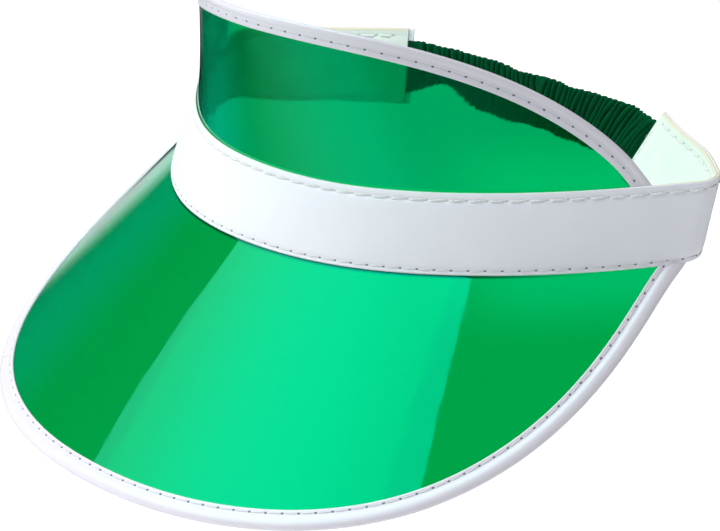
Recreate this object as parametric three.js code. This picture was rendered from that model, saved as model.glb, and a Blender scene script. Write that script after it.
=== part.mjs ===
// A sun visor of soft sheet: a white two-ply headband, a clear green brim below it and a clear green crown
// above it, both edged with folded white binding, and a gathered elastic that joins the two rear flaps.
// Millimetres. +Z is up as worn, -Y is forward, +X is the wearer's left.
// The origin is the middle of the head opening, at half the headband's height.
import * as THREE from "three";

// ---- Driving dimensions ----
const BAND_HEIGHT = 25;
const BAND_SIDE = 144.5; // along the band, from the front centre to the start of a rear corner
const BEND_RADII = [111, 85, 163, 196, 347]; // the band's bend at even stations from the front to the corner
const CORNER_RADIUS = 9;
const CORNER_BEND = THREE.MathUtils.degToRad(89);
const FLAP_LENGTH = 61;
const FOLD_SLANT = 0.3; // how much further along the band the fold lies per unit of height
const FOLD_EASE = 40; // the slant grows over this stretch before the corner
const ELASTIC_EASE = 50; // and fades over this stretch of the elastic
const HEAD_CENTRE = 68; // from the front of the band back to the origin

// How far the band's lower edge stands out from upright at the front, at the corner and at the flap's end.
const LEAN_FRONT = THREE.MathUtils.degToRad(26);
const LEAN_CORNER = THREE.MathUtils.degToRad(9);
const LEAN_FLAP_END = THREE.MathUtils.degToRad(-10);

const PLY = 0.8; // white sheet
const PANEL = 0.5; // clear green sheet
const GAP = 0.3; // left between touching layers
const TONGUE = 8; // how deep a panel reaches into the band
const STACK = PLY + GAP + PANEL + GAP + PLY;

const BRIM_LENGTH = 90;
const BRIM_SLOPE_FRONT = THREE.MathUtils.degToRad(41); // below the horizontal
const BRIM_SLOPE_SIDE = THREE.MathUtils.degToRad(47);
const BRIM_FAN = 0.12; // radians that the sheet's straight lines turn back along the band at the tips
const BRIM_OUTLINE = [2.8, 1.45]; // powers that shape the edge: fullness, then how finely it tapers

const CROWN_LENGTH = 51.7;
const CROWN_RISE_FRONT = THREE.MathUtils.degToRad(84); // above the horizontal, over 90 leans in
const CROWN_RISE_TIP = THREE.MathUtils.degToRad(134.5);
const CROWN_FAN = -1; // radians, likewise; below 0 they fan forward
const CROWN_OUTLINE = [2.2, 0.9];
const CROWN_TIP = 0.91; // where the crown ends, as a share of the band's side

const BRIM_BINDING_WIDTH = 6.3;
const CROWN_BINDING_WIDTH = 5.6;
const BINDING_PLY = 0.7;
const BINDING_STACK = PANEL + 2 * GAP + 2 * BINDING_PLY;

const THREAD = 0.45;
const STITCH_INSET = 2.6; // a stitch row's distance from the band's edge
const BINDING_STITCH_INSET = 1.5; // from the binding's inner edge

const ELASTIC_HEIGHT = 18;
const ELASTIC_DROP = 0.5; // below the band's middle line
const ELASTIC_TURN = 20; // length of the elastic's turn from a flap's direction to straight across
const CORE_HEIGHT = 14;
const CASING_PLY = 0.7;
const CASING_GAP = 0.6; // room for the gathers on each side of the core
const POCKET = 8; // how deep the elastic core is sewn into a flap

// Even steps along the pieces.
const SIDE_STEPS = 28;
const CORNER_STEPS = 6;
const FLAP_STEPS = 6;
const ELASTIC_STEPS = 16;

// ---- The band's path, seen from above ----
const CORNER_LENGTH = CORNER_RADIUS * CORNER_BEND;
const FLAP_START = BAND_SIDE + CORNER_LENGTH;
const FLAP_END = FLAP_START + FLAP_LENGTH;

// The path's bend at distance s from the front centre, where it has the given heading. Past the flaps it
// follows the elastic, which turns until it runs straight across.
function bendAt(s, heading) {
  if (s >= FLAP_END) return Math.max(Math.PI - heading, 0) / ELASTIC_TURN;
  if (s >= FLAP_START) return 0;
  if (s >= BAND_SIDE) return 1 / CORNER_RADIUS;
  const place = (s / BAND_SIDE) * (BEND_RADII.length - 1);
  const first = Math.floor(place);
  const share = place - first;
  return (1 - share) / BEND_RADII[first] + share / BEND_RADII[first + 1];
}

// Walks the path in small steps from the front centre to the back centre, adding up heading and place.
const WALK = 0.25;
const walked = [{ x: 0, y: -HEAD_CENTRE, heading: 0 }];
for (let s = 0; s < FLAP_END || walked[walked.length - 1].x > 0; s += WALK) {
  const last = walked[walked.length - 1];
  const heading = last.heading + bendAt(s + WALK / 2, last.heading) * WALK;
  const mean = (last.heading + heading) / 2;
  walked.push({ x: last.x + Math.cos(mean) * WALK, y: last.y + Math.sin(mean) * WALK, heading });
}
const PATH_END = (walked.length - 2) * WALK;

// The path at distance s. A negative s is the wearer's right side.
function pathAt(s) {
  const place = Math.abs(s) / WALK;
  const first = Math.floor(place);
  const [a, b] = [walked[first], walked[first + 1]];
  const share = place - first;
  const side = s < 0 ? -1 : 1;
  const heading = a.heading + (b.heading - a.heading) * share;
  return {
    x: side * (a.x + (b.x - a.x) * share),
    y: a.y + (b.y - a.y) * share,
    outward: new THREE.Vector3(side * Math.sin(heading), -Math.cos(heading), 0),
    forward: new THREE.Vector3(Math.cos(heading), side * Math.sin(heading), 0),
  };
}

function leanAt(s) {
  const length = Math.abs(s);
  const alongSide = Math.min(length / BAND_SIDE, 1);
  const alongRear = THREE.MathUtils.clamp((length - BAND_SIDE) / (FLAP_END - BAND_SIDE), 0, 1);
  return (
    LEAN_FRONT + (LEAN_CORNER - LEAN_FRONT) * alongSide ** 2 + (LEAN_FLAP_END - LEAN_CORNER) * alongRear
  );
}

// The band's own directions at s: up along its face, and out through its face.
function bandFrame(s) {
  const { x, y, outward, forward } = pathAt(s);
  const lean = leanAt(s);
  const up = new THREE.Vector3(0, 0, Math.cos(lean)).addScaledVector(outward, -Math.sin(lean));
  const out = new THREE.Vector3(0, 0, Math.sin(lean)).addScaledVector(outward, Math.cos(lean));
  return { centre: new THREE.Vector3(x, y, 0), outward, forward, up, out };
}

// The corner folds slant: higher up, the band runs on a little further before it turns.
const CORNER_HEADING = walked[Math.round(BAND_SIDE / WALK)].heading;
function foldDelay(length, height) {
  const grown = THREE.MathUtils.smoothstep(length, BAND_SIDE - FOLD_EASE, BAND_SIDE);
  const faded = THREE.MathUtils.smoothstep(length, FLAP_END, FLAP_END + ELASTIC_EASE);
  return FOLD_SLANT * height * grown * (1 - faded);
}

// A point on the band: s along it, height above its middle line, depth in from its outer face.
function bandPoint(s, height, depth) {
  const side = s < 0 ? -1 : 1;
  const delay = foldDelay(Math.abs(s), height);
  const { centre, up, out } = bandFrame(s - side * delay);
  const along = new THREE.Vector3(side * Math.cos(CORNER_HEADING), Math.sin(CORNER_HEADING), 0);
  return centre.addScaledVector(along, delay).addScaledVector(up, height).addScaledVector(out, -depth);
}

const MIDDLE_DEPTH = STACK / 2;

// How far along the band each panel and its binding go, from the front centre to where they are too short.
const BRIM_REACH = 0.975 * BAND_SIDE;
const BRIM_BINDING_REACH = 0.93 * BAND_SIDE;
const CROWN_REACH = 0.985 * CROWN_TIP * BAND_SIDE;
const CROWN_BINDING_REACH = 0.95 * CROWN_TIP * BAND_SIDE;

// ---- The panels ----
const outlineShare = (u, [fullness, taper]) => (1 - Math.min(Math.abs(u), 1) ** fullness) ** taper;

// The brim at s: its root in the band's lower edge, the direction of its straight line, and its length.
function brimLine(s) {
  const u = s / BAND_SIDE;
  const { outward, forward, up } = bandFrame(s);
  const slope = BRIM_SLOPE_FRONT + (BRIM_SLOPE_SIDE - BRIM_SLOPE_FRONT) * u * u;
  const fan = BRIM_FAN * u ** 3;
  const across = outward.clone().multiplyScalar(Math.cos(fan)).addScaledVector(forward, Math.sin(fan));
  const direction = new THREE.Vector3(0, 0, -Math.sin(slope)).addScaledVector(across, Math.cos(slope));
  const root = bandPoint(s, -BAND_HEIGHT / 2 - GAP, MIDDLE_DEPTH);
  const length = BRIM_LENGTH * outlineShare(u, BRIM_OUTLINE);
  return { root, direction, towardsBand: up, along: forward, length };
}

// The crown at s: the same, from the band's upper edge.
function crownLine(s) {
  const u = s / (BAND_SIDE * CROWN_TIP);
  const { outward, forward, up } = bandFrame(s);
  const rise = CROWN_RISE_FRONT + (CROWN_RISE_TIP - CROWN_RISE_FRONT) * u * u;
  const fan = CROWN_FAN * u;
  const across = outward.clone().multiplyScalar(Math.cos(fan)).addScaledVector(forward, Math.sin(fan));
  const direction = new THREE.Vector3(0, 0, Math.sin(rise)).addScaledVector(across, Math.cos(rise));
  const root = bandPoint(s, BAND_HEIGHT / 2 + GAP, MIDDLE_DEPTH);
  const length = CROWN_LENGTH * outlineShare(u, CROWN_OUTLINE);
  return { root, direction, towardsBand: up.negate(), along: forward, length };
}

// ---- Making closed solids ----

const mix = THREE.MathUtils.lerp;

// Moves every vertex of a geometry to where place(x, y, z) puts it.
function bent(geometry, place) {
  const position = geometry.getAttribute("position");
  for (let i = 0; i < position.count; i++) {
    const moved = place(position.getX(i), position.getY(i), position.getZ(i));
    position.setXYZ(i, moved.x, moved.y, moved.z);
  }
  geometry.computeVertexNormals();
  return geometry;
}

// A flat strip with u, v and thickness w from 0 to 1, bent to place(u, v, w).
function strip(uSteps, vSteps, place) {
  const flat = new THREE.BoxGeometry(1, 1, 1, uSteps, vSteps, 1);
  return bent(flat.translate(0.5, 0.5, 0.5), place);
}

// A section, given as corners (a, b) and an optional hole, run along u from 0 to 1 and bent to place(a, b, u).
function run(corners, steps, place, hole = null) {
  const section = new THREE.Shape(corners.map(([a, b]) => new THREE.Vector2(a, b)));
  if (hole) section.holes.push(new THREE.Path(hole.map(([a, b]) => new THREE.Vector2(a, b))));
  return bent(new THREE.ExtrudeGeometry(section, { depth: 1, steps, bevelEnabled: false }), place);
}

// The four corners of a rectangle, anticlockwise.
const rectangle = (a0, a1, b0, b1) => [[a0, b0], [a1, b0], [a1, b1], [a0, b1]];

// ---- Materials ----
const finish = (color, roughness, more) =>
  new THREE.MeshStandardMaterial({ color, roughness, metalness: 0, ...more });
const whiteSheet = () => finish(0xf2f3f6, 0.35);
const greenSheet = () => finish(0x00a862, 0.08, { transparent: true, opacity: 0.6 });
const bindingSheet = () => finish(0xe4e2ee, 0.4);
const creamThread = () => finish(0xe9e4d6, 0.8);
const greenFabric = () => finish(0x0a5a3c, 0.9);
const paleRubber = () => finish(0xd8d2c0, 0.7);

const visor = new THREE.Group();

function add(name, geometry, material) {
  const mesh = new THREE.Mesh(geometry, material);
  mesh.name = name;
  visor.add(mesh);
}

// ---- The headband, corner folds and flaps ----

const SIDES = [
  ["left", 1],
  ["right", -1],
];
const LAYERS = [
  ["outer_ply", 0, PLY],
  ["lining", STACK - PLY, STACK],
];

// One layer of the band from s0 to s1, between two depths.
function bandLayer(s0, s1, steps, depthOut, depthIn) {
  const half = BAND_HEIGHT / 2;
  return strip(steps, 2, (u, v, w) =>
    bandPoint(mix(s0, s1, u), mix(-half, half, v), mix(depthIn, depthOut, w)),
  );
}

// Puts a stretch of the left side on either side of the visor, always in the path's own direction.
const onSide = (side, s0, s1) => (side > 0 ? [s0, s1] : [-s1, -s0]);

for (const [layer, depthOut, depthIn] of LAYERS) {
  const edge = BAND_SIDE - GAP / 2;
  add("headband_" + layer, bandLayer(-edge, edge, 2 * SIDE_STEPS, depthOut, depthIn), whiteSheet());
  for (const [name, side] of SIDES) {
    const corner = onSide(side, BAND_SIDE + GAP / 2, FLAP_START - GAP / 2);
    const flap = onSide(side, FLAP_START + GAP / 2, FLAP_END);
    add(name + "_corner_" + layer, bandLayer(...corner, CORNER_STEPS, depthOut, depthIn), whiteSheet());
    add(name + "_flap_" + layer, bandLayer(...flap, FLAP_STEPS, depthOut, depthIn), whiteSheet());
  }
}

// ---- The green panels ----

// A panel is a tongue held in the band and then straight lines out to its edge, which stays back from the
// fold of its binding. v runs from the tongue to the edge.
const TONGUE_SHARE = 0.25;
const EDGE_TRIM = 2 * (BINDING_PLY + GAP); // twice the fold's room, since the edge can cross the lines at a slant
function panel(line, reach) {
  return strip(2 * SIDE_STEPS, 8, (u, v, w) => {
    const { root, direction, towardsBand, along, length } = line(mix(-reach, reach, u));
    const inTongue = v <= TONGUE_SHARE;
    const travel = inTongue ? towardsBand.clone().negate() : direction;
    const distance = inTongue
      ? (v / TONGUE_SHARE - 1) * TONGUE
      : ((v - TONGUE_SHARE) / (1 - TONGUE_SHARE)) * (length - EDGE_TRIM);
    const normal = along.clone().cross(travel).normalize();
    return root.addScaledVector(travel, distance).addScaledVector(normal, (w - 0.5) * PANEL);
  });
}
add("brim_panel", panel(brimLine, BRIM_REACH), greenSheet());
add("crown_panel", panel(crownLine, CROWN_REACH), greenSheet());

// ---- The folded bindings on the panels' edges ----

// The edge of a panel at s, with directions along it, out of it in the sheet's plane, and through the sheet.
const EDGE_STEP = 0.5;
function edgeFrame(line, s) {
  const edge = (at) => {
    const { root, direction, length } = line(at);
    return root.addScaledVector(direction, length);
  };
  const tangent = edge(s + EDGE_STEP).sub(edge(s - EDGE_STEP)).normalize();
  const through = tangent.clone().cross(line(s).direction).normalize();
  return { point: edge(s), out: through.clone().cross(tangent), through };
}

const alongEdge = (line, reach) => (a, b, u) => {
  const { point, out, through } = edgeFrame(line, mix(-reach, reach, u));
  return point.addScaledVector(out, a).addScaledVector(through, b);
};

// A strip folded round the edge: two flat margins and a round fold, open towards the panel.
function foldedSection(width) {
  const half = BINDING_STACK / 2;
  const inner = half - BINDING_PLY;
  const fold = [];
  for (let step = 0; step <= 4; step++) {
    const turn = THREE.MathUtils.degToRad(-90 + 45 * step);
    fold.push([-half + half * Math.cos(turn), half * Math.sin(turn)]);
  }
  const mouth = [[-width, half], [-width, inner], [-BINDING_PLY, inner]];
  return [...fold, ...mouth, [-BINDING_PLY, -inner], [-width, -inner], [-width, -half]];
}

// A thread laid along a binding's flat margin, on the face that shows: b is below 0 on the brim's upper face.
function marginThread(width, face) {
  const a = BINDING_STITCH_INSET - width;
  const b = face * (BINDING_STACK / 2 + GAP + THREAD / 2);
  return rectangle(a - THREAD / 2, a + THREAD / 2, b - THREAD / 2, b + THREAD / 2);
}

const PANELS = [
  ["brim", brimLine, BRIM_BINDING_REACH, BRIM_BINDING_WIDTH, -1],
  ["crown", crownLine, CROWN_BINDING_REACH, CROWN_BINDING_WIDTH, 1],
];
for (const [name, line, reach, width, face] of PANELS) {
  const place = alongEdge(line, reach);
  add(name + "_binding", run(foldedSection(width), 2 * SIDE_STEPS, place), bindingSheet());
  add(name + "_binding_thread", run(marginThread(width, face), 2 * SIDE_STEPS, place), creamThread());
}

// ---- The band's threads ----

const STITCH_HEIGHT = BAND_HEIGHT / 2 - STITCH_INSET;
for (const [name, height] of [["top", STITCH_HEIGHT], ["bottom", -STITCH_HEIGHT]]) {
  const section = rectangle(height - THREAD / 2, height + THREAD / 2, GAP, GAP + THREAD);
  const place = (a, b, u) => bandPoint(mix(1 - BAND_SIDE, BAND_SIDE - 1, u), a, -b);
  const thread = run(section, 2 * SIDE_STEPS, place);
  add("headband_" + name + "_thread", thread, creamThread());
}

// A thread sewn round three sides of a flap: out along one row, up beside the end, and back along the other.
for (const [name, side] of SIDES) {
  const [start, end] = [FLAP_START + 1, FLAP_END - STITCH_INSET];
  const [outer, inner] = [STITCH_HEIGHT + THREAD / 2, STITCH_HEIGHT - THREAD / 2];
  const steps = Array.from({ length: FLAP_STEPS + 1 }, (_, i) => i / FLAP_STEPS);
  const row = (height, from, to) => steps.map((share) => [side * mix(from, to, share), height]);
  const outside = [...row(-outer, start, end), ...row(outer, end, start)];
  const inside = [...row(inner, start, end - THREAD), ...row(-inner, end - THREAD, start)];
  const thread = run([...outside, ...inside], 1, (s, height, w) => bandPoint(s, height, -GAP - THREAD * w));
  add(name + "_flap_thread", thread, creamThread());
}

// ---- The elastic, made as two halves that meet at the back centre ----

const core = rectangle(-CORE_HEIGHT / 2, CORE_HEIGHT / 2, -PANEL / 2, PANEL / 2);
const roomDepth = PANEL / 2 + CASING_GAP;
const roomHeight = ELASTIC_HEIGHT / 2 - CASING_PLY;
const casingDepth = roomDepth + CASING_PLY;
const casing = rectangle(-ELASTIC_HEIGHT / 2, ELASTIC_HEIGHT / 2, -casingDepth, casingDepth);
const room = rectangle(-roomHeight, roomHeight, -roomDepth, roomDepth);

for (const [name, side] of SIDES) {
  const placeFrom = (start) => {
    const [s0, s1] = onSide(side, start, PATH_END - GAP / 2);
    return (height, out, u) => bandPoint(mix(s0, s1, u), height - ELASTIC_DROP, STACK / 2 - out);
  };
  const coreHalf = run(core, ELASTIC_STEPS, placeFrom(FLAP_END - POCKET));
  const casingHalf = run(casing, ELASTIC_STEPS, placeFrom(FLAP_END + GAP), room);
  add(name + "_elastic_core", coreHalf, paleRubber());
  add(name + "_elastic_casing", casingHalf, greenFabric());
}

export default visor;
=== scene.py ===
"""A sun visor: clear green brim and crown sewn into a white headband, edges bound with folded white tape,
rear flaps joined by a gathered elastic. Metres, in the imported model's frame: +Z up, -Y forward, +X left.
Each piece is a mesh lofted along the band's path or along a panel's edge, with a procedural material."""

import math

import bpy
import numpy as np
from mathutils import Matrix, Vector


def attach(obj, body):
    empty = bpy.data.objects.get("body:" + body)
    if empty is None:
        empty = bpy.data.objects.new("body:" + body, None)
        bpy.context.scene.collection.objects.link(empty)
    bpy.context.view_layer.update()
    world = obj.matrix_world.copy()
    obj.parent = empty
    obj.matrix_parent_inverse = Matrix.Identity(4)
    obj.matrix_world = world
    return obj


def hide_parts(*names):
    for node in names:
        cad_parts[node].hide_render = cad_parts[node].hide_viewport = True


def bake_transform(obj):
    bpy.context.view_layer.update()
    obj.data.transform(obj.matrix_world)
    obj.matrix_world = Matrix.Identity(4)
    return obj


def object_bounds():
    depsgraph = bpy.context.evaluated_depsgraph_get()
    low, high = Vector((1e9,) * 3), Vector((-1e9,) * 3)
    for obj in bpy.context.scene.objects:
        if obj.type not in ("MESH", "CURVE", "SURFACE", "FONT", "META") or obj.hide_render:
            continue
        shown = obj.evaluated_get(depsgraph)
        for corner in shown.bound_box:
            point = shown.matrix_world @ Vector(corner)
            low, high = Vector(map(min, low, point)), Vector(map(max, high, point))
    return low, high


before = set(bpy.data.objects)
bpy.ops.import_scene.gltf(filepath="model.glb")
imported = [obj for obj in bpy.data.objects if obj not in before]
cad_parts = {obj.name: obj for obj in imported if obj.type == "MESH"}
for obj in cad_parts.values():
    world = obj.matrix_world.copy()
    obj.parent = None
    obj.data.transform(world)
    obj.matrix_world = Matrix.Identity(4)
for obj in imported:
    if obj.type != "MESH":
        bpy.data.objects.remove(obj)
cad_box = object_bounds()

MM = 0.001  # one millimetre, in metres

# ---- The model's driving dimensions, as the CAD part states them ----
BAND_HEIGHT = 25 * MM
BAND_SIDE = 144.5 * MM
BEND_RADII = np.array([111, 85, 163, 196, 347]) * MM
CORNER_RADIUS = 9 * MM
CORNER_LENGTH = CORNER_RADIUS * math.radians(89)
FLAP_START = BAND_SIDE + CORNER_LENGTH
FLAP_END = FLAP_START + 61 * MM
HEAD_CENTRE = 68 * MM
LEAN_FRONT, LEAN_CORNER, LEAN_FLAP_END = np.radians([26, 9, -10])
PLY, PANEL, GAP = 0.8 * MM, 0.5 * MM, 0.3 * MM
STACK = 2 * PLY + PANEL + 2 * GAP
BRIM_LENGTH, CROWN_LENGTH = 90 * MM, 51.7 * MM
BRIM_SLOPES = np.radians([41, 47])
CROWN_RISES = np.radians([84, 134.5])
BRIM_OUTLINE, CROWN_OUTLINE = (2.8, 1.45), (2.2, 0.9)
# Radians that a panel's straight lines turn at its tips: back along the band, or forward where it is below 0.
BRIM_FAN, CROWN_FAN = 0.12, -1.0
CROWN_TIP = 0.91  # where the crown ends, as a share of the band's side
BRIM_BINDING, CROWN_BINDING = 6.3 * MM, 5.6 * MM
ELASTIC_TURN = 20 * MM
LEAN_POWER = 2.0
FOLD_SLANT, FOLD_EASE, ELASTIC_EASE = 0.3, 40 * MM, 50 * MM
ELASTIC_HEIGHT, ELASTIC_DROP = 18 * MM, 0.5 * MM

# ---- Small shapes that only the looks have ----
# The flap's upper half swells out beside the corner: by how much, how far past the fold, and over what reach.
FLAP_SWELL, SWELL_PLACE, SWELL_REACH = 2.6 * MM, 22 * MM, 18 * MM
RIGHT_LIFT, RIGHT_SLANT = 2.6 * MM, 0.26  # the right flap's end sits higher, and is cut on a slant
MIDDLE = STACK / 2  # depth of the band's middle surface, from its outer face


# ---- The band's path and surfaces ----
def walk_path(step=0.1 * MM):
    """Distance, place and heading along the band's path, from the front centre to the back centre."""
    s, x, y, heading = [0.0], [0.0], [-HEAD_CENTRE], [0.0]
    knots = np.linspace(0, BAND_SIDE, len(BEND_RADII))
    while s[-1] < FLAP_END or x[-1] > 0:
        middle = s[-1] + step / 2
        if middle < BAND_SIDE:
            bend = np.interp(middle, knots, 1 / BEND_RADII)
        elif middle < FLAP_START:
            bend = 1 / CORNER_RADIUS
        else:
            bend = 0.0 if middle < FLAP_END else max(math.pi - heading[-1], 0) / ELASTIC_TURN
        turned = heading[-1] + bend * step
        mean = (heading[-1] + turned) / 2
        s.append(s[-1] + step)
        x.append(x[-1] + math.cos(mean) * step)
        y.append(y[-1] + math.sin(mean) * step)
        heading.append(turned)
    return tuple(np.array(values) for values in (s, x, y, heading))


PATH = walk_path()
PATH_END = PATH[0][-2]


def unit(v):
    return v / np.linalg.norm(v, axis=-1, keepdims=True)


def vec(x, y, z):
    return np.stack(np.broadcast_arrays(x, y, z), axis=-1).astype(float)


def band_frame(s):
    """The band's middle line at s, with its level outward, forward, face-up and face-out directions.
    A negative s is the wearer's right side."""
    side, length = np.where(s < 0, -1.0, 1.0), np.abs(s)
    x, y, heading = (np.interp(length, PATH[0], PATH[i]) for i in (1, 2, 3))
    outward = vec(side * np.sin(heading), -np.cos(heading), 0)
    forward = vec(np.cos(heading), side * np.sin(heading), 0)
    along_side = np.minimum(length / BAND_SIDE, 1)
    along_rear = np.clip((length - BAND_SIDE) / (FLAP_END - BAND_SIDE), 0, 1)
    lean = (
        LEAN_FRONT
        + (LEAN_CORNER - LEAN_FRONT) * along_side**LEAN_POWER
        + (LEAN_FLAP_END - LEAN_CORNER) * along_rear
    )
    sin, cos = np.sin(lean)[..., None], np.cos(lean)[..., None]
    top = np.array([0.0, 0.0, 1.0])
    return vec(side * x, y, 0), outward, forward, cos * top - sin * outward, sin * top + cos * outward


def smooth(x):
    x = np.clip(x, 0, 1)
    return x * x * (3 - 2 * x)


def bump_at(x, width):
    return np.exp(-((x / width) ** 2))


def before_elastic(length):
    """1 up to the flap's end, easing to 0 along the elastic."""
    return 1 - smooth((length - FLAP_END) / ELASTIC_EASE)


def band_point(s, height, depth):
    """A point of the band: s along it, height above its middle line, depth in from its outer face."""
    s, height, depth = np.broadcast_arrays(s, height, depth)
    length, side = np.abs(s), np.where(s < 0, -1.0, 1.0)
    lifted = smooth((length - FLAP_START) / (FLAP_END - FLAP_START)) * before_elastic(length)
    lifted = lifted * (side < 0)
    length = length + RIGHT_SLANT * height * lifted
    rises = smooth((length - BAND_SIDE) / FOLD_EASE + 1) * before_elastic(length)
    late = FOLD_SLANT * height * rises
    centre, _, _, up, out = band_frame(side * np.maximum(length - late, 0))
    heading = np.interp(BAND_SIDE, PATH[0], PATH[3])
    along = vec(side * math.cos(heading), math.sin(heading), 0)
    swell = FLAP_SWELL * bump_at(length - FLAP_START - SWELL_PLACE, SWELL_REACH)
    swell = swell * smooth(height / BAND_HEIGHT + 0.5)
    up_by = height + RIGHT_LIFT * lifted
    return centre + along * late[..., None] + up * up_by[..., None] + out * (swell - depth)[..., None]


def outline(u, shape):
    return (1 - np.minimum(np.abs(u), 1) ** shape[0]) ** shape[1]


def panel_line(s, brim):
    """The straight line of a panel at s: its root in the band's edge, its direction and its length."""
    s = np.asarray(s, float)
    _, outward, forward, _, _ = band_frame(s)
    if brim:
        u = s / BAND_SIDE
        angle = -(BRIM_SLOPES[0] + (BRIM_SLOPES[1] - BRIM_SLOPES[0]) * u**2)
        fan = BRIM_FAN * u**3
        length = BRIM_LENGTH * outline(u, BRIM_OUTLINE)
    else:
        u = s / (BAND_SIDE * CROWN_TIP)
        angle = CROWN_RISES[0] + (CROWN_RISES[1] - CROWN_RISES[0]) * u**2
        fan = CROWN_FAN * u
        length = CROWN_LENGTH * outline(u, CROWN_OUTLINE)
    across = outward * np.cos(fan)[..., None] + forward * np.sin(fan)[..., None]
    direction = across * np.cos(angle)[..., None] + vec(0, 0, np.sin(angle))
    edge = (BAND_HEIGHT / 2 + GAP) * (-1 if brim else 1)
    return band_point(s, edge, MIDDLE), direction, length


# ---- Looks of the sewn pieces ----
TOP_ROW = BAND_HEIGHT / 2 - 2.5 * MM  # heights of the band's two rows of stitches
BOTTOM_ROW = -BAND_HEIGHT / 2 + 1.4 * MM
TOP_PITCH, BOTTOM_PITCH, BINDING_PITCH = 6.25 * MM, 5.05 * MM, 5.3 * MM
TOP_THREAD, BOTTOM_THREAD, BINDING_THREAD = 0.36 * MM, 0.2 * MM, 0.16 * MM  # the threads' radii
HOLE_RADIUS = 0.4 * MM
LEAD = 10 * MM  # how far each end of a binding runs on behind the band
random = np.random.RandomState(7)


# ---- Meshes ----
def cell(n, m):
    """The quads of a tube of n rings of m points."""
    index = np.arange(n * m).reshape(n, m)
    near, far = index[:-1], index[1:]
    return np.stack([near, far, np.roll(far, -1, 1), np.roll(near, -1, 1)], -1).reshape(-1, 4)


class Pile:
    """Closed tubes gathered into one mesh. A tube is rings of points, with a texture place for each."""

    def __init__(self):
        self.points, self.uvs, self.faces = [], [], []
        self.count = 0

    def add(self, points, uv, faces):
        self.faces += (np.array(faces) + self.count).tolist()
        self.points.append(points)
        self.uvs.append(uv)
        self.count += len(points)

    def tube(self, rings, uv, open_start=False):
        n, m = rings.shape[:2]
        points, quads = rings.reshape(-1, 3), cell(n, m)
        uv = np.broadcast_to(uv, (n, m, 2)).reshape(-1, 2)
        a, b, c, d = (points[quads[:, i]] for i in range(4))
        inside_out = (np.cross(b, c) * a).sum() + (np.cross(c, d) * a).sum() < 0
        self.add(points, uv, quads[:, ::-1] if inside_out else quads)
        for ring, turned in ((slice(0, m), inside_out), (slice((n - 1) * m, n * m), not inside_out)):
            if not (open_start and ring.start == 0):
                cap = list(range(m))
                self.add(points[ring], uv[ring], [cap[::-1] if turned else cap])
        return self

    def build(self, name, material):
        mesh = bpy.data.meshes.new(name)
        mesh.from_pydata(np.concatenate(self.points).tolist(), [], self.faces)
        mesh.polygons.foreach_set("use_smooth", np.ones(len(self.faces), bool))
        corners = np.zeros(len(mesh.loops), np.int32)
        mesh.loops.foreach_get("vertex_index", corners)
        layer = mesh.uv_layers.new(name="along_across")
        layer.data.foreach_set("uv", np.concatenate(self.uvs)[corners].astype(np.float32).ravel())
        mesh.materials.append(material)
        made = bpy.data.objects.new(name, mesh)
        bpy.context.scene.collection.objects.link(made)
        return made


def both(u, v):
    return np.stack(np.broadcast_arrays(u, v), -1)


# ---- Materials ----
class Net:
    """A material's nodes, with a Principled BSDF as its surface."""

    def __init__(self, name, **values):
        self.material = bpy.data.materials.new(name)
        self.material.use_nodes = True
        self.tree = self.material.node_tree
        self.tree.nodes.clear()
        self.output = self.tree.nodes.new("ShaderNodeOutputMaterial")
        self.surface = self.add("BsdfPrincipled", **values)
        self.join(self.surface.outputs[0], self.output.inputs["Surface"])
        uv = self.add("UVMap", uv_map="along_across")
        self.place = uv.outputs[0]
        split = self.add("SeparateXYZ", Vector=self.place)
        self.along, self.across = split.outputs[0], split.outputs[1]

    def join(self, a, b):
        self.tree.links.new(a, b)

    def add(self, kind, **values):
        """A node. Values are its properties, or its inputs by name with spaces as underscores."""
        node = self.tree.nodes.new("ShaderNode" + kind)
        for key, value in values.items():
            if key[0].islower() and hasattr(node, key):
                setattr(node, key, value)
                continue
            socket = node.inputs[int(key[1:]) if key[0] == "_" else key.replace("_", " ")]
            if isinstance(value, bpy.types.NodeSocket):
                self.join(value, socket)
            else:
                socket.default_value = value
        return node

    def math(self, operation, a, b=0.0):
        return self.add("Math", operation=operation, _0=a, _1=b).outputs[0]

    def noise(self, size, detail=3.0, roughness=0.5, stretch=(1, 1, 1)):
        """Noise whose features are about size metres, from 0 to 1."""
        place = self.add("Mapping", Vector=self.place, Scale=[k / size for k in stretch]).outputs[0]
        return self.add("TexNoise", Vector=place, Scale=1.0, Detail=detail, Roughness=roughness).outputs[0]

    def span(self, value, low, high, to_low=0.0, to_high=1.0):
        """Value from low..high to to_low..to_high, easing in and out."""
        made = self.add("MapRange", interpolation_type="SMOOTHSTEP", Value=value)
        for i, number in enumerate((low, high, to_low, to_high)):
            made.inputs[1 + i].default_value = number
        return made.outputs[0]

    def mix(self, share, a, b):
        made = self.add("Mix", data_type="RGBA", _0=share)
        for socket, value in ((made.inputs[6], a), (made.inputs[7], b)):
            if isinstance(value, bpy.types.NodeSocket):
                self.join(value, socket)
            else:
                socket.default_value = (*value, 1.0)
        return made.outputs[2]

    def holes(self, row, pitch, radius=HOLE_RADIUS, oval=1.6):
        """1 in a row's needle holes, 0 away from them. A hole is oval times longer than wide."""
        turn = self.math("FRACT", self.math("ADD", self.math("DIVIDE", self.along, pitch), 0.5))
        along = self.math("MULTIPLY", self.math("SUBTRACT", turn, 0.5), pitch / oval)
        across = self.math("SUBTRACT", self.across, row)
        squares = self.math("ADD", self.math("POWER", along, 2.0), self.math("POWER", across, 2.0))
        return self.span(self.math("SQRT", squares), 0.45 * radius, radius, 1.0, 0.0)

    def bump(self, height, distance):
        return self.add("Bump", Height=height, Strength=1.0, Distance=distance).outputs[0]

    def finish(self, color=None, roughness=None, normal=None):
        for name, value in (("Base Color", color), ("Roughness", roughness), ("Normal", normal)):
            if value is not None:
                self.join(value, self.surface.inputs[name])
        return self.material


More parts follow.
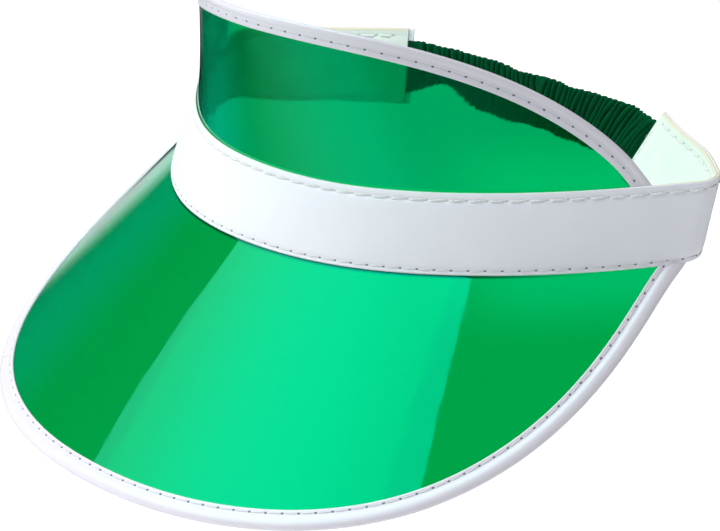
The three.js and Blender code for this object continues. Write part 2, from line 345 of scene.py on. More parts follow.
def vinyl(name, color, edge_color, roughness, rows, half_height=None):
    """Soft white sheet: a fine even grain, a faint uneven tone, needle holes darkened with painted shade, and
    a cream cut edge.
    """
    net = Net(name, IOR=1.46, Coat_Weight=0.12, Coat_Roughness=0.35)
    grain, broad = net.noise(0.00045, 2.0), net.noise(0.016, 3.0)
    uneven_tone = net.span(broad, 0.3, 0.7)
    tint = net.mix(uneven_tone, color, [c * 0.975 for c in color])
    height = net.math("MULTIPLY", grain, 0.35)
    depth = net.span(net.along, -0.1, 0.0, 0.45, 1.0)  # the holes' painted shade fades on the wearer's right, where the lamps light the band more brightly
    for row, pitch, dark in rows:
        hole = net.math("MULTIPLY", net.holes(row, pitch), depth)
        # Painted shade in each row's needle holes, as dark as the row's third value.
        tint = net.mix(net.math("MULTIPLY", hole, dark), tint, (0.05, 0.10, 0.11))
        height = net.math("SUBTRACT", height, net.math("MULTIPLY", hole, 3.0))
    if half_height:
        edge = net.span(net.math("ABSOLUTE", net.across), half_height - 0.25 * MM, half_height - 0.05 * MM)
        rear = net.span(net.math("ABSOLUTE", net.along), BAND_SIDE - 12 * MM, BAND_SIDE + 2 * MM)
        tint = net.mix(edge, tint, net.mix(rear, (0.93, 0.94, 0.92), edge_color))
    rough = net.span(broad, 0.25, 0.75, roughness - 0.04, roughness + 0.05)
    return net.finish(tint, rough, net.bump(height, 0.00006))


EDGE_ON_GREEN = (0.0, 0.05, 0.045)  # a clear sheet seen nearly edge on
SHADOW_GREEN = (0.12, 0.62, 0.33, 1.0)  # what a lamp's light becomes on its way through a sheet


def green_sheet(name, color, side_color, painted_root_color):
    """Clear green vinyl, glossy, with faint waves, deeper in colour where it is seen at a slant. side_color
    is the colour at a steep slant. The last colour is painted along the band's edge: a contact shadow on the
    brim, a paler green on the crown. Lamps shine through it."""
    net = Net(
        name,
        Transmission_Weight=1.0,
        IOR=1.8,
        Specular_IOR_Level=1.0,
        Specular_Tint=(0.0, 1.0, 0.78, 1.0),
    )
    waves, smears = net.noise(0.03, 2.0), net.noise(0.008, 4.0, 0.6)
    rough = net.span(smears, 0.35, 0.75, 0.025, 0.06)
    side = net.span(net.math("ABSOLUTE", net.along), 0.055, 0.095)
    stretched = net.math("MULTIPLY", side, net.span(net.across, 0.002, 0.024, 1.0, 0.0))
    tint = net.mix(stretched, color, (0.0, 0.40, 0.10))
    facing = net.add("LayerWeight", Blend=0.5).outputs["Facing"]
    slanting = ((0.15, 0.5, [c * 0.88 for c in color]), (0.45, 0.72, side_color), (0.9, 0.96, EDGE_ON_GREEN))
    for low, high, deeper in slanting:
        tint = net.mix(net.span(facing, low, high), tint, deeper)
    # Painted along the sheet's root, where it goes in between the plies: a contact shadow on the brim, a
    # paler green on the crown.
    root = net.span(net.across, 0.2 * MM, 1 * MM, 1.0, 0.0)
    root = net.math("MULTIPLY", root, net.span(net.along, -0.1, -0.13, 1.0, 0.0))
    root = net.math("MULTIPLY", root, net.span(net.along, 0.07, 0.12, 1.0, 0.0))
    tint = net.mix(root, tint, painted_root_color)
    made = net.finish(tint, rough, net.bump(waves, 0.00006))
    through = net.add("BsdfTransparent", Color=SHADOW_GREEN).outputs[0]
    in_shadow = net.add("LightPath").outputs["Is Shadow Ray"]
    choice = net.add("MixShader", _0=in_shadow, _1=net.surface.outputs[0], _2=through)
    net.join(choice.outputs[0], net.output.inputs["Surface"])
    return made


def thread_material(name, color):
    """Twisted sewing thread: fine slanting ridges, with painted shade in the grooves between them."""
    net = Net(name, IOR=1.5)
    slant = net.math("ADD", net.math("MULTIPLY", net.along, 9000.0), net.math("MULTIPLY", net.across, 6.283))
    twist = net.span(net.math("SINE", slant), -1.0, 1.0)
    # Painted shade: the grooves of the twist are darker.
    tint = net.mix(twist, [c * 0.8 for c in color], color)
    return net.finish(tint, net.span(twist, 0, 1, 0.75, 0.6), net.bump(twist, 0.00008))


def fabric(name, color, dark):
    """Thin woven cloth: crossed threads a third of a millimetre apart, with painted shade in the valleys of
    its gathers. dark is both the weave's darker tone and the painted shade's colour.
    """
    net = Net(name, IOR=1.35, Specular_IOR_Level=0.06)
    # Painted shade where the mesh sinks into a gather's valley.
    gather_shade = net.span(net.add("NewGeometry").outputs["Pointiness"], 0.44, 0.53, 1.0, 0.0)
    warp = net.math("SINE", net.math("MULTIPLY", net.along, 2 * math.pi / (0.34 * MM)))
    weft = net.math("SINE", net.math("MULTIPLY", net.across, 2 * math.pi / (0.3 * MM)))
    weave = net.span(net.math("MULTIPLY", warp, weft), -1.0, 1.0)
    blotch = net.noise(0.004, 3.0)
    tint = net.mix(net.math("MULTIPLY", weave, blotch), [(a + b) / 2 for a, b in zip(color, dark)], color)
    tint = net.mix(gather_shade, tint, dark)
    return net.finish(tint, net.span(blotch, 0.3, 0.7, 0.55, 0.75), net.bump(weave, 0.00005))


def felt(name, color, edge_color, rows, half_height):
    """The band's inner sheet: soft, slightly wrinkled and fibrous, with painted shade in its wrinkles'
    hollows and its needle holes.
    """
    net = Net(name, IOR=1.4, Sheen_Weight=0.3, Sheen_Roughness=0.5)
    fibres, creases = net.noise(0.0007, 4.0, 0.65, (1, 2.2, 1)), net.noise(0.009, 4.0, 0.6)
    # Painted shade: darker where the wrinkles sink.
    tint = net.mix(net.span(creases, 0.3, 0.7), [c * 0.95 for c in color], color)
    height = net.math("ADD", net.math("MULTIPLY", fibres, 0.4), net.math("MULTIPLY", creases, 1.6))
    for row, pitch, _ in rows:
        hole = net.holes(row, pitch, 0.5 * MM)
        # Painted shade in the needle holes.
        tint = net.mix(net.math("MULTIPLY", hole, 0.5), tint, (0.35, 0.5, 0.42))
        height = net.math("SUBTRACT", height, net.math("MULTIPLY", hole, 1.5))
    edge = net.span(net.math("ABSOLUTE", net.across), half_height - 1.1 * MM, half_height - 0.6 * MM)
    tint = net.mix(edge, tint, edge_color)
    return net.finish(tint, net.span(fibres, 0.3, 0.7, 0.6, 0.8), net.bump(height, 0.0002))


# Each row: its height, its pitch, and how dark the painted shade in its needle holes is.
BAND_ROWS = [(TOP_ROW, TOP_PITCH, 0.3), (BOTTOM_ROW, BOTTOM_PITCH, 0.8)]
WHITE, CREAM = (0.89, 0.91, 0.98), (0.80, 0.76, 0.62)
band_vinyl = vinyl("band_vinyl", WHITE, CREAM, 0.42, BAND_ROWS, BAND_HEIGHT / 2)
lining_felt = felt("lining_felt", (0.80, 0.88, 0.845), CREAM, BAND_ROWS, BAND_HEIGHT / 2)
# The last colour of each sheet is painted along its root: a contact shadow on the brim, a paler green on the
# crown.
brim_vinyl = green_sheet("brim_vinyl", (0.0, 0.30, 0.05), (0.0, 0.335, 0.25), (0.0, 0.05, 0.02))
crown_vinyl = green_sheet("crown_vinyl", (0.0, 0.30, 0.08), (0.0, 0.47, 0.38), (0.0, 0.36, 0.08))
LILAC = (0.84, 0.82, 0.90)
BRIM_ROW, CROWN_ROW = -5.1 * MM, -3.7 * MM  # the bindings' rows of stitches, in from their outer edges
brim_tape = vinyl("brim_tape", LILAC, LILAC, 0.3, [(BRIM_ROW, BINDING_PITCH, 0.9)])
crown_holes = [(CROWN_ROW, BINDING_PITCH, 0.9)]
# The crown's tape is the brim's lilac tape painted darker: a painted shade over the whole tape.
crown_tape = vinyl("crown_tape", (0.76, 0.755, 0.83), (0.9, 0.9, 0.93), 0.36, crown_holes)
white_thread = thread_material("white_thread", (0.93, 0.93, 0.94))
brim_thread = thread_material("brim_thread", (0.90, 0.89, 0.95))
crown_thread = thread_material("crown_thread", (0.80, 0.795, 0.87))
green_cloth = fabric("green_cloth", (0.0, 0.108, 0.036), (0.0, 0.022, 0.008))
rubber = thread_material("rubber_ribbon", (0.75, 0.72, 0.64))


# ---- The headband and its lining ----
SEAM_WIDTH, SEAM_DEPTH, HOLE_DEPTH = 0.8 * MM, 0.16 * MM, 0.12 * MM  # the dent along a row, and at its holes
OUTER_DEPTH, LINING_DEPTH = 0.45 * MM, 2.3 * MM  # the two faces, where nothing pads them or pulls them in
PADDING = 0.3 * MM


def pulled_in(s, height):
    """How far the stitches pull the band's faces in at a point."""
    deep = 0
    for row, pitch, _ in BAND_ROWS:
        near_hole = np.cos(2 * math.pi * s / pitch) * 0.5 + 0.5
        deep = deep + bump_at(height - row, SEAM_WIDTH) * (SEAM_DEPTH + HOLE_DEPTH * near_hole**2)
    return deep


def padding(height):
    """The band is fullest along its middle and thinner past the stitches."""
    share = np.clip(np.abs(height) / (BAND_HEIGHT / 2), 0, 1)
    return 1 - share**4


def face_depth(s, height):
    return OUTER_DEPTH - PADDING * padding(height) + pulled_in(s, height)


def lining_depth(s, height):
    """The lining is loosely filled at the flaps, so it puffs out between its stitches and creases there."""
    length = np.abs(s)
    flap = smooth((length - BAND_SIDE) / CORNER_LENGTH) * smooth((FLAP_END - 4 * MM - length) / (6 * MM))
    between = np.clip((TOP_ROW - height) / (3 * MM), 0, 1) * np.clip((height - BOTTOM_ROW) / (3 * MM), 0, 1)
    crease = np.sin(s / (4.3 * MM) + height / (5.1 * MM)) * np.sin(s / (9.7 * MM) - height / (3.7 * MM) + 1)
    puff = flap * between * (0.7 + 0.35 * crease) * MM
    return LINING_DEPTH + PADDING * padding(height) + puff - 0.5 * pulled_in(s, height)


def room(s, height):
    """Half the space between the plies: the sheet's where there is one, nearly none past its tips."""
    tip = np.where(height > 0, CROWN_TIP * BAND_SIDE, BAND_SIDE)
    held = smooth((tip - np.abs(s)) / (6 * MM)) * smooth((np.abs(height) - 3.5 * MM) / (2 * MM))
    return 0.02 * MM + held * (PANEL / 2)


def band_ring(face, back, s):
    """Rings round one ply at each s: over its face, round its edge, and back over its other side."""
    edge, rim = BAND_HEIGHT / 2, 0.3 * MM
    fine = 1.6 * MM  # the points lie closer together this far to each side of a row of stitches
    rows = np.concatenate([
        np.linspace(-edge + rim, BOTTOM_ROW - fine / 2, 2, endpoint=False),
        np.linspace(BOTTOM_ROW - fine / 2, BOTTOM_ROW + fine, 9, endpoint=False),
        np.linspace(BOTTOM_ROW + fine, TOP_ROW - fine, 12, endpoint=False),
        np.linspace(TOP_ROW - fine, TOP_ROW + fine, 10, endpoint=False),
        np.linspace(TOP_ROW + fine, edge - rim, 4),
    ])
    heights = np.concatenate([rows, [edge], rows[::-1], [-edge]])
    side = np.concatenate([np.zeros(len(rows)), [0.5], np.ones(len(rows)), [0.5]])
    s, h = s[:, None], heights[None, :]
    depth = face(s, h) * (1 - side) + back(s, h) * side
    return band_point(s, h, depth), both(s, h)


def stations(a, b, step):
    return np.linspace(a, b, max(2, int(round(abs(b - a) / step)) + 1))


def fold_ends(side):
    """Where a corner's bend starts and ends, on the band's middle line."""
    return [Vector(band_point(side * s, 0.0, MIDDLE)) for s in (BAND_SIDE - 1 * MM, FLAP_START + 1 * MM)]


BAND_STEP = 0.8 * MM
LINING_END = FLAP_END - 1.8 * MM  # the lining stops short of the outer ply
for side, name in ((1, "left"), (-1, "right")):
    flap = name + "_flap"
    fold_start, fold_end = fold_ends(side)
    along = side * stations(0, FLAP_END, BAND_STEP)
    rings, uv = band_ring(face_depth, lambda s, h: MIDDLE - room(s, h), along)
    outer = Pile().tube(rings, uv, open_start=True).build("headband_" + name, band_vinyl)
    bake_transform(outer)
    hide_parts("headband_outer_ply", name + "_corner_outer_ply", flap + "_outer_ply")
    along = side * stations(0, LINING_END, BAND_STEP)
    rings, uv = band_ring(lining_depth, lambda s, h: MIDDLE + room(s, h), along)
    lining = Pile().tube(rings, uv, open_start=True).build("lining_" + name, lining_felt)
    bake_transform(lining)
    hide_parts("headband_lining", name + "_corner_lining", flap + "_lining")


# ---- Stitches ----
UNEVEN = 0.12  # millimetres that a stitch's slant varies by


def stitch(pile, place, start, end, row, radius, slant=0.0):
    """One stitch, from hole to hole: place(along, across, out) puts its points on the sheet."""
    t = np.linspace(0, 1, 9)[:, None]
    turn = np.linspace(0, 2 * math.pi, 8, endpoint=False)[None, :]
    thick = radius * np.sqrt(np.clip(1 - (2 * t - 1) ** 6, 0.02, 1))
    swing = slant + random.uniform(-UNEVEN, UNEVEN) * MM
    along = start + (end - start) * (0.05 + 0.9 * t) + 0 * turn
    across = row + swing * (t - 0.5) + thick * np.cos(turn)
    lift = radius * (0.55 - 1.9 * np.abs(2 * t - 1) ** 5)
    pile.tube(place(along, across, lift + 0.75 * thick * np.sin(turn)), both(along, turn / 6.283))


def stitch_row(pile, place, start, end, row, pitch, radius, slant=0.0):
    """Stitches between needle holes, which lie at whole numbers of pitches from the front."""
    first, last = math.ceil(min(start, end) / pitch), math.floor(max(start, end) / pitch)
    for k in range(first, last):
        stitch(pile, place, k * pitch, (k + 1) * pitch, row, radius, slant)


def on_face(s, height, out):
    return band_point(s, height, face_depth(s, height) - out)


def on_lining(s, height, out):
    return band_point(s, height, lining_depth(s, height) + out)


FLAP_ROW, FLAP_PITCH = FLAP_END - 3 * MM, 3.4 * MM  # the upright row across a flap's end
ROW_SLANT = 0.3 * MM
for side, name in ((1, "left"), (-1, "right")):
    pile = Pile()
    for (row, pitch, _), radius in zip(BAND_ROWS, (TOP_THREAD, BOTTOM_THREAD)):
        for place in (on_face, on_lining):
            stitch_row(pile, place, 0, side * FLAP_ROW, row, pitch, radius, ROW_SLANT)
    for place in (on_face, on_lining):
        upright = lambda h, s, out, place=place: place(s, h, out)
        stitch_row(pile, upright, BOTTOM_ROW, TOP_ROW, side * FLAP_ROW, FLAP_PITCH, BOTTOM_THREAD)
    made = pile.build("stitches_" + name, white_thread)
    fold_start, fold_end = fold_ends(side)
    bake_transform(made)
    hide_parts("headband_top_thread", "headband_bottom_thread", name + "_flap_thread")


# ---- The green sheets and their bindings ----
TONGUE = 6 * MM
BEND = 1.2 * MM  # the sheet turns from the band's direction to its own over this length on each side
BEND_IN = 0.8 * MM  # the middle of that turn, inside the band's edge
SHEET_STEP = 1.2 * MM
EDGE_IN = 1.2 * MM  # the sheet ends this far inside its binding's outer edge
SHORTEST = 0.4 * MM  # what is left of the sheet at its tips


def sheet_point(s, distance, brim, through=0.0):
    """A point of a panel: distance from its root along its straight line, or into the band below 0."""
    root, direction, _ = panel_line(s, brim)
    root, distance = root - BEND_IN * direction, distance + BEND_IN
    _, _, forward, up, _ = band_frame(s)
    inward = up if brim else -up
    straight = np.maximum(distance, 0)[..., None] * direction - np.minimum(distance, 0)[..., None] * inward
    turn = np.clip(1 - np.abs(distance) / BEND, 0, 1)[..., None]
    eased = straight + turn**2 * (direction + inward) * (BEND / 4)
    share = smooth((distance + BEND) / (2 * BEND))[..., None]
    line = unit(direction * share - inward * (1 - share))
    normal = unit(np.cross(forward, line))
    return root + eased + normal * through


def sheet(name, brim, reach):
    s = stations(-reach, reach, SHEET_STEP)[:, None]
    length = np.maximum(panel_line(s, brim)[2] - EDGE_IN, SHORTEST)
    near = np.concatenate([np.linspace(-TONGUE, -BEND, 3, endpoint=False), np.linspace(-BEND, BEND, 9)])
    share = np.linspace(0, 1, 40)[1:]
    out = np.concatenate([np.broadcast_to(near, (len(s), len(near))), BEND + (length - BEND) * share], 1)
    out = np.minimum(out, length)
    top = sheet_point(s + 0 * out, out, brim, PANEL / 2)
    bottom = sheet_point(s + 0 * out, out, brim, -PANEL / 2)
    rings = np.concatenate([top, bottom[:, ::-1]], 1)
    uv = np.concatenate([both(s, out), both(s, out)[:, ::-1]], 1)
    return Pile().tube(rings, uv).build(name, brim_vinyl if brim else crown_vinyl)


EDGE_STEP, LEAD_STEPS = 0.8 * MM, 14


def edge_curve(brim, reach):
    """Even stations along a panel's edge, led on behind the band at both ends: distance along it, place,
    directions out and through, and how far each is tucked into the band, from 0 to 1."""
    s = stations(-reach, reach, 0.25 * MM)
    root, direction, length = panel_line(s, brim)
    edge = root + direction * length[:, None]
    run = np.concatenate([[0], np.cumsum(np.linalg.norm(np.diff(edge, axis=0), axis=1))])
    run = run - run[-1] / 2
    even = stations(run[0], run[-1], EDGE_STEP)
    at = lambda values: np.stack([np.interp(even, run, values[:, i]) for i in range(3)], -1)
    place, line = at(edge), at(direction)
    tangent = unit(np.gradient(place, axis=0))
    through = unit(np.cross(tangent, line))
    steps = np.arange(1, LEAD_STEPS + 1) * LEAD / LEAD_STEPS
    parts = [(even, place, tangent, through)]
    for end, side in ((0, -1), (-1, 1)):
        ahead = tangent[end] * side
        more = place[end] + ahead * steps[:, None]
        parts.insert(
            0 if side < 0 else 2,
            tuple(v[::side] for v in (
                even[end] + side * steps,
                more,
                np.broadcast_to(tangent[end], more.shape),
                np.broadcast_to(through[end], more.shape),
            )),
        )
    run, place, tangent, through = (np.concatenate(v) for v in zip(*parts))
    early = 2 * MM if brim else -1 * MM  # how far before the open edge's end the tucking starts
    tucked = smooth((np.abs(run) - even[-1] + early) / (LEAD * 0.8))
    face = band_frame(np.where(run < 0, -reach, reach))[4]
    face = face * np.sign((face * through).sum(-1, keepdims=True))
    through = through * (1 - tucked[:, None]) + face * tucked[:, None]
    through = unit(through - tangent * (through * tangent).sum(-1, keepdims=True))
    return run, place, np.cross(through, tangent), through, tucked


TAPE = 0.4 * MM  # a binding tape's thickness


def tape_section(width, bead, half):
    """A binding's section, from its inner edge over the bead to its inner edge below. The margin beside the
    bead is flat, but for a faint dip at the stitches."""
    margin, cut, dip = width - bead, 0.12 * MM, 0.06 * MM
    lip = PANEL / 2 + TAPE
    foot = lip - 0.05 * MM  # where the bead starts to rise
    flat = [(-width, lip - cut), (-width + cut, lip)]
    flat += [(-width + k * margin, lip - dip * bump_at(k - 0.6, 0.3)) for k in (0.3, 0.45, 0.6, 0.8)]
    flat += [(-bead - 0.1 * MM, foot)]
    turns = np.linspace(math.pi - 0.55, 0, 13)
    rolled = [(-bead / 2 + bead / 2 * math.cos(t), half * math.sin(t) ** 0.85) for t in turns]
    upper = flat + [(a, max(b, foot)) if a < -bead / 2 else (a, b) for a, b in rolled]
    lower = [(a, -b) for a, b in upper[::-1][1:]]
    return np.array(upper + lower)


BRIM_REACH, CROWN_REACH = 0.95 * BAND_SIDE, 0.96 * CROWN_TIP * BAND_SIDE
BRIM_BEAD, CROWN_BEAD = (4.4 * MM, 1.35 * MM), (2.6 * MM, 1.0 * MM)  # widths, and half thicknesses
THREAD_HEIGHT = 0.3 * MM  # the middle of the thread, from the green sheet's face
for name, brim, reach, width, (bead, half), stitch_at, tape, thread in (
    ("brim", True, BRIM_REACH, BRIM_BINDING, BRIM_BEAD, BRIM_ROW, brim_tape, brim_thread),
    ("crown", False, CROWN_REACH, CROWN_BINDING, CROWN_BEAD, CROWN_ROW, crown_tape, crown_thread),
):
    made = sheet(name + "_sheet", brim, reach if brim else 0.994 * reach)
    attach(made, "headband")
    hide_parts(name + "_panel")
    run, place, out, through, tucked = edge_curve(brim, reach)
    section = tape_section(width, bead, half)
    thin = 1 - 0.5 * tucked
    narrow = 1 - (0.6 if brim else 0.2) * tucked**4
    a = section[None, :, 0:1] * narrow[:, None, None]
    b = section[None, :, 1:2] * thin[:, None, None]
    rings = place[:, None] + out[:, None] * a + through[:, None] * b
    tape_piece = Pile().tube(rings, both(run[:, None], section[None, :, 0])).build(name + "_piping", tape)
    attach(tape_piece, "headband")
    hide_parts(name + "_binding")

    def on_tape(along, across, out_of, face):
        at = lambda v: np.stack([np.interp(along, run, v[:, i]) for i in range(3)], -1)
        lift = face * ((PANEL / 2 + THREAD_HEIGHT) * np.interp(along, run, thin) + out_of)
        return at(place) + at(out) * across[..., None] + at(through) * lift[..., None]

    pile = Pile()
    for face in (1, -1):
        put = lambda u, v, w, face=face: on_tape(u, v, w, face)
        first, last = run[0] + 0.6 * LEAD, run[-1] - 0.6 * LEAD
        stitch_row(pile, put, first, last, stitch_at, BINDING_PITCH, BINDING_THREAD)
    threads = pile.build(name + "_stitches", thread)
    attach(threads, "headband")
    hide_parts(name + "_binding_thread")


# ---- The gathered elastic ----
GATHER = 2.3 * MM  # from one ridge of the gathered cloth to the next
END_GATHER = 0.35  # the ridges stand closer beside a flap, by up to this share
GATHER_FADE = 14 * MM


def gathers(along, height, seed):
    """Ridges across the elastic, from 0 in a valley to 1 on a ridge, uneven in spacing and slant."""
    waves = np.random.RandomState(seed)
    drift = sum(
        waves.uniform(0.5, 1.0) * np.sin(along * k / MM + waves.uniform(0, 6) + height * j / MM)
        for k, j in ((0.17, 0.04), (0.41, 0.16), (0.83, -0.21))
    )
    past = along - FLAP_END
    turns = (past + GATHER_FADE * np.log(1 + END_GATHER * np.exp(-past / GATHER_FADE))) / GATHER
    phase = math.pi * (turns + 0.05 * height / MM) + 0.5 * drift + 0.3 * np.sin(height / (3.1 * MM) + seed)
    share = 0.72 + 0.28 * np.sin(0.37 * along / MM + 0.6 * drift + height / (5.0 * MM))
    return share * np.abs(np.sin(phase)) ** 0.75


def casing_edges(s, side):
    """The casing's upper and lower edges at s: wavy, and rolled up below beside the right flap."""
    wave = 0.35 * MM * np.sin(s / (6.3 * MM) + side) * smooth((PATH_END - s) / (8 * MM))
    low = -ELASTIC_HEIGHT / 2 + 0.5 * MM * np.sin(s / (8.7 * MM))
    if side < 0:
        low = low + 4.6 * MM * bump_at(s - FLAP_END - 14 * MM, 10 * MM)
    return ELASTIC_HEIGHT / 2 - 0.4 * MM + wave, low


RIDGE_HEIGHT = 1.9 * MM
RIBBON = (-3.5 * MM, 7 * MM, 0.2 * MM)  # its lower and upper edges and half its thickness
CASING_START = FLAP_END - 2.6 * MM
ROOT_END = FLAP_END + 12 * MM  # the elastic's first length, where it leaves the flap, ends here
GAP_BETWEEN = 0.03 * MM  # between two lengths of the elastic, so that they never rub


def elastic_length(side, name, span, bend, ending=""):
    """One length of the gathered casing and the ribbon inside it."""
    s = stations(*span, 0.2 * MM)[:, None]
    turn = np.linspace(0, 2 * math.pi, 84, endpoint=False)[None, :]
    rise = np.sign(np.sin(turn)) * np.abs(np.sin(turn)) ** 0.6
    swell = np.sign(np.cos(turn)) * np.abs(np.cos(turn)) ** 0.3
    high, low = casing_edges(s, side)
    h = (high + low) / 2 + (high - low) / 2 * rise
    ridge = np.where(np.cos(turn) > 0, gathers(s, h, 3), gathers(s, h, 11))
    centre = smooth((s - PATH_END + 2.2 * MM) / (1.6 * MM))  # both halves end on one shared ridge
    ridge = ridge + (0.85 - ridge) * centre
    free = smooth((s - FLAP_END) / (3 * MM))
    end_wave = 0.9 * MM * np.sin(h / (2.9 * MM)) * (1 - free)
    thick = (0.25 * MM + free * (0.3 * MM + RIDGE_HEIGHT * ridge)) * swell
    tall = h + free * 0.6 * MM * (ridge - 0.4) * rise
    rings = band_point(side * (s + end_wave), tall - ELASTIC_DROP, MIDDLE - thick)
    casing = Pile().tube(rings, both(s, h)).build("elastic_casing_" + name + ending, green_cloth)
    s = stations(span[0], span[1] - 0.2 * MM, 1.0 * MM)[:, None]
    bottom, top, half = RIBBON
    flat = np.array([[bottom, half], [top, half], [top, -half], [bottom, -half]])
    rings = band_point(side * s, flat[None, :, 0] - ELASTIC_DROP, MIDDLE + flat[None, :, 1])
    ribbon = Pile().tube(rings, both(s, flat[None, :, 0])).build("elastic_ribbon_" + name + ending, rubber)
    start, end = (Vector(band_point(side * place, 0.0, MIDDLE)) for place in bend)
    end.z = start.z
    for piece, slot, node in ((casing, "elastic_fabric", "_casing"), (ribbon, "elastic_rubber", "_core")):
        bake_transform(piece)
        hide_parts(name + "_elastic" + node)


for side, name in ((1, "left"), (-1, "right")):
    flap, root, middle = name + "_flap", name + "_elastic_end", name + "_elastic_middle"
    near, far = (CASING_START, ROOT_END), (ROOT_END + GAP_BETWEEN, PATH_END - 2 * GAP_BETWEEN)
    elastic_length(side, name, near, (FLAP_END, ROOT_END), "_root")
    elastic_length(side, name, far, (ROOT_END, PATH_END))


# ---- Floor, light and camera ----
def studio_material(name, color, glow=0.6, shine=(1, 1, 1), fading=False):
    """Plain paper that glows. A fading one is brightest near its middle and dimmer towards both sides."""
    net = Net(name, IOR=1.4)
    place = net.add("TexCoord").outputs["Object"]
    speck = net.add("TexNoise", Vector=place, Scale=30.0, Detail=4.0).outputs[0]
    tint = net.mix(speck, color, [c * 0.97 for c in color])
    net.surface.inputs["Emission Color"].default_value = (*shine, 1)
    net.surface.inputs["Emission Strength"].default_value = glow
    if fading:
        across = net.add("SeparateXYZ", Vector=place).outputs[0]
        left, right = net.span(across, -1.6, -0.3, 0.38, 1.0), net.span(across, -0.15, 0.4, 1.0, 0.68)
        level = net.math("MULTIPLY", net.math("MULTIPLY", left, right), glow)
        net.join(level, net.surface.inputs["Emission Strength"])
    return net.finish(tint, net.span(speck, 0.3, 0.7, 0.7, 0.8))


def studio_panel(name, outline, height, material, hidden_from):
    """A level polygon that only some kinds of ray see."""
    mesh = bpy.data.meshes.new(name)
    mesh.from_pydata([(x, y, height) for x, y in outline], [], [list(range(len(outline)))])
    mesh.materials.append(material)
    made = bpy.data.objects.new(name, mesh)
    bpy.context.scene.collection.objects.link(made)
    for kind in hidden_from:
        setattr(made, "visible_" + kind, False)


PAPER = (0.9, 0.9, 0.9)
FLOOR_DROP = 0.25  # the floor lies this far below the visor, as a wearer's head would hold it
FLOOR_REACH = 30
floor_corners = [(x * FLOOR_REACH, y * FLOOR_REACH) for x, y in ((-1, -1), (1, -1), (1, 1), (-1, 1))]
floor_paper = studio_material("floor_paper", PAPER)
# The glossy and clear pieces see the world's plain levels where the floor is.
studio_panel("floor", floor_corners, cad_box[0].z - FLOOR_DROP, floor_paper, ("glossy", "transmission"))


def softbox(name, place, target, width, depth, radiance):
    """A rectangular lamp, which no glossy piece reflects."""
    lamp = bpy.data.lights.new(name, "AREA")
    lamp.shape = "RECTANGLE"
    lamp.size, lamp.size_y = width, depth
    lamp.energy = radiance * math.pi * width * depth
    holder = bpy.data.objects.new(name, lamp)
    bpy.context.scene.collection.objects.link(holder)
    holder.location = place
    holder.rotation_mode = "QUATERNION"
    holder.rotation_quaternion = (Vector(target) - Vector(place)).to_track_quat("-Z", "Y")
    holder.visible_glossy = False


CEILING = 1.2
above = (-0.48 * CEILING, -0.45 * CEILING)
softbox("key", (*above, CEILING), (*above, 0), 1.43 * CEILING, 1.5 * CEILING, 3.0)
softbox("fill", (-1.25, -1.05, 0.25), (0, 0, 0), 0.9, 0.6, 3.6)

# The bright face of the key lamp, as only the glossy pieces see it. Its slanting sides give the brim a pale
# stripe with clean edges.
SOFTBOX_OUTLINE = [
    (-1.0, 0.36), (-1.36, -0.6), (-1.52, -0.72), (-1.6, -0.87), (-1.62, -1.44),
    (0.85, -1.44), (0.4, -0.53), (0.1, 0.36),
]
softbox_paper = studio_material("softbox_face", PAPER, 2.6, (0.1, 1, 0.95), True)
all_but_glossy = ("camera", "diffuse", "transmission", "shadow")
studio_panel("softbox_face", SOFTBOX_OUTLINE, CEILING, softbox_paper, all_but_glossy)

world = bpy.data.worlds.new("studio")
world.use_nodes = True
nodes, links = world.node_tree.nodes, world.node_tree.links
background = nodes["Background"]
background.inputs["Color"].default_value = (0.95, 0.97, 1.0, 1.0)
ray = nodes.new("ShaderNodeLightPath")


def world_math(operation, *values):
    node = nodes.new("ShaderNodeMath")
    node.operation = operation
    for socket, value in zip(node.inputs, values):
        if isinstance(value, bpy.types.NodeSocket):
            links.new(value, socket)
        else:
            socket.default_value = value
    return node.outputs[0]


def world_span(value, low, high, to_low, to_high):
    node = nodes.new("ShaderNodeMapRange")
    node.interpolation_type = "SMOOTHSTEP"
    for socket, number in zip(node.inputs, (value, low, high, to_low, to_high)):
        if isinstance(number, bpy.types.NodeSocket):
            links.new(number, socket)
        else:
            socket.default_value = number
    return node.outputs[0]


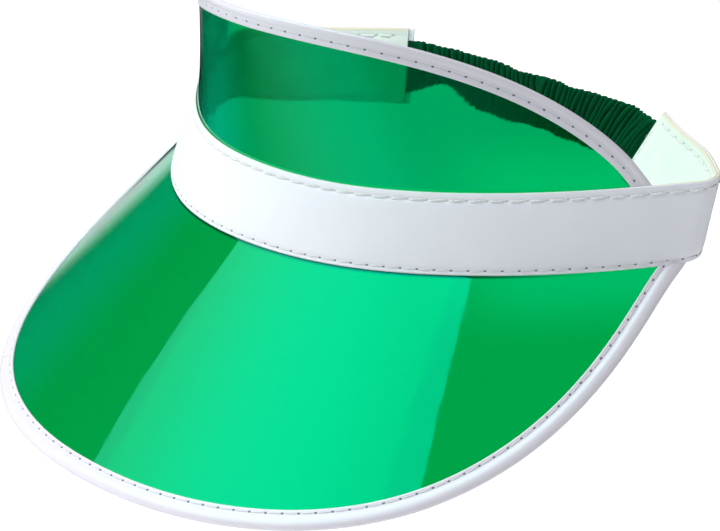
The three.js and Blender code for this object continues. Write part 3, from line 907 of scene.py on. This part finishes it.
def world_wall(turns, heights):
    """A soft-edged patch of the world: its edges by azimuth in degrees, and by height from -1 to 1.
    Each edge is where it starts and ends, and the levels there."""
    edges = [(azimuth, math.radians(a), math.radians(b), *levels) for a, b, *levels in turns]
    edges += [(height, *edge) for edge in heights]
    patch = world_span(*edges[0])
    for edge in edges[1:]:
        patch = world_math("MULTIPLY", patch, world_span(*edge))
    return patch


# What the glossy pieces reflect: a dim room, with a pale wall low in front and another behind at the right.
direction = nodes.new("ShaderNodeSeparateXYZ")
links.new(nodes.new("ShaderNodeTexCoord").outputs["Generated"], direction.inputs[0])
east, north, height = direction.outputs
azimuth = world_math("ARCTAN2", east, world_math("MULTIPLY", north, -1.0))  # 0 in front, and left is above 0
front_wall = world_wall(
    [(-65, -5, 0.0, 0.68), (8, 35, 1.0, 0.25), (75, 95, 1.0, 0.0)],
    [(-0.1, 0.25, 1.0, 0.0)],
)
far_wall = world_wall(
    [(-116, -107, 0.9, 0.0), (-123.5, -118, 0.0, 1.0)],
    [(-0.04, 0.02, 1.0, 0.0), (-0.31, -0.25, 0.0, 1.0)],
)
DIM_ROOM = 0.004
LEVELS = (("Is Camera Ray", 1.1), ("Is Transmission Ray", 1.38), ("Is Diffuse Ray", 0.185))
reflected = world_math("MAXIMUM", world_math("MAXIMUM", front_wall, far_wall), DIM_ROOM)
strength = world_math("MULTIPLY", ray.outputs["Is Glossy Ray"], reflected)
for kind, level in LEVELS:
    strength = world_math("MULTIPLY_ADD", ray.outputs[kind], level, strength)
links.new(strength, background.inputs["Strength"])
bpy.context.scene.world = world

scene = bpy.context.scene
scene.view_settings.view_transform = "Standard"

CAMERA_PLACE, CAMERA_TARGET = (0.5291, -0.5078, 0.2673), (0.00006, -0.0223, -0.0358)
CAMERA_ROLL = math.radians(-1.35)
lens = bpy.data.cameras.new("camera")
lens.lens, lens.sensor_width = 117.2, 36.0
lens.clip_start, lens.clip_end = 0.01, 100
camera = bpy.data.objects.new("camera", lens)
scene.collection.objects.link(camera)
camera.location = CAMERA_PLACE
look = Vector(CAMERA_TARGET) - camera.location
roll = Matrix.Rotation(CAMERA_ROLL, 3, "Z").to_quaternion()
camera.rotation_mode = "QUATERNION"
camera.rotation_quaternion = look.to_track_quat("-Z", "Y") @ roll
scene.camera = camera
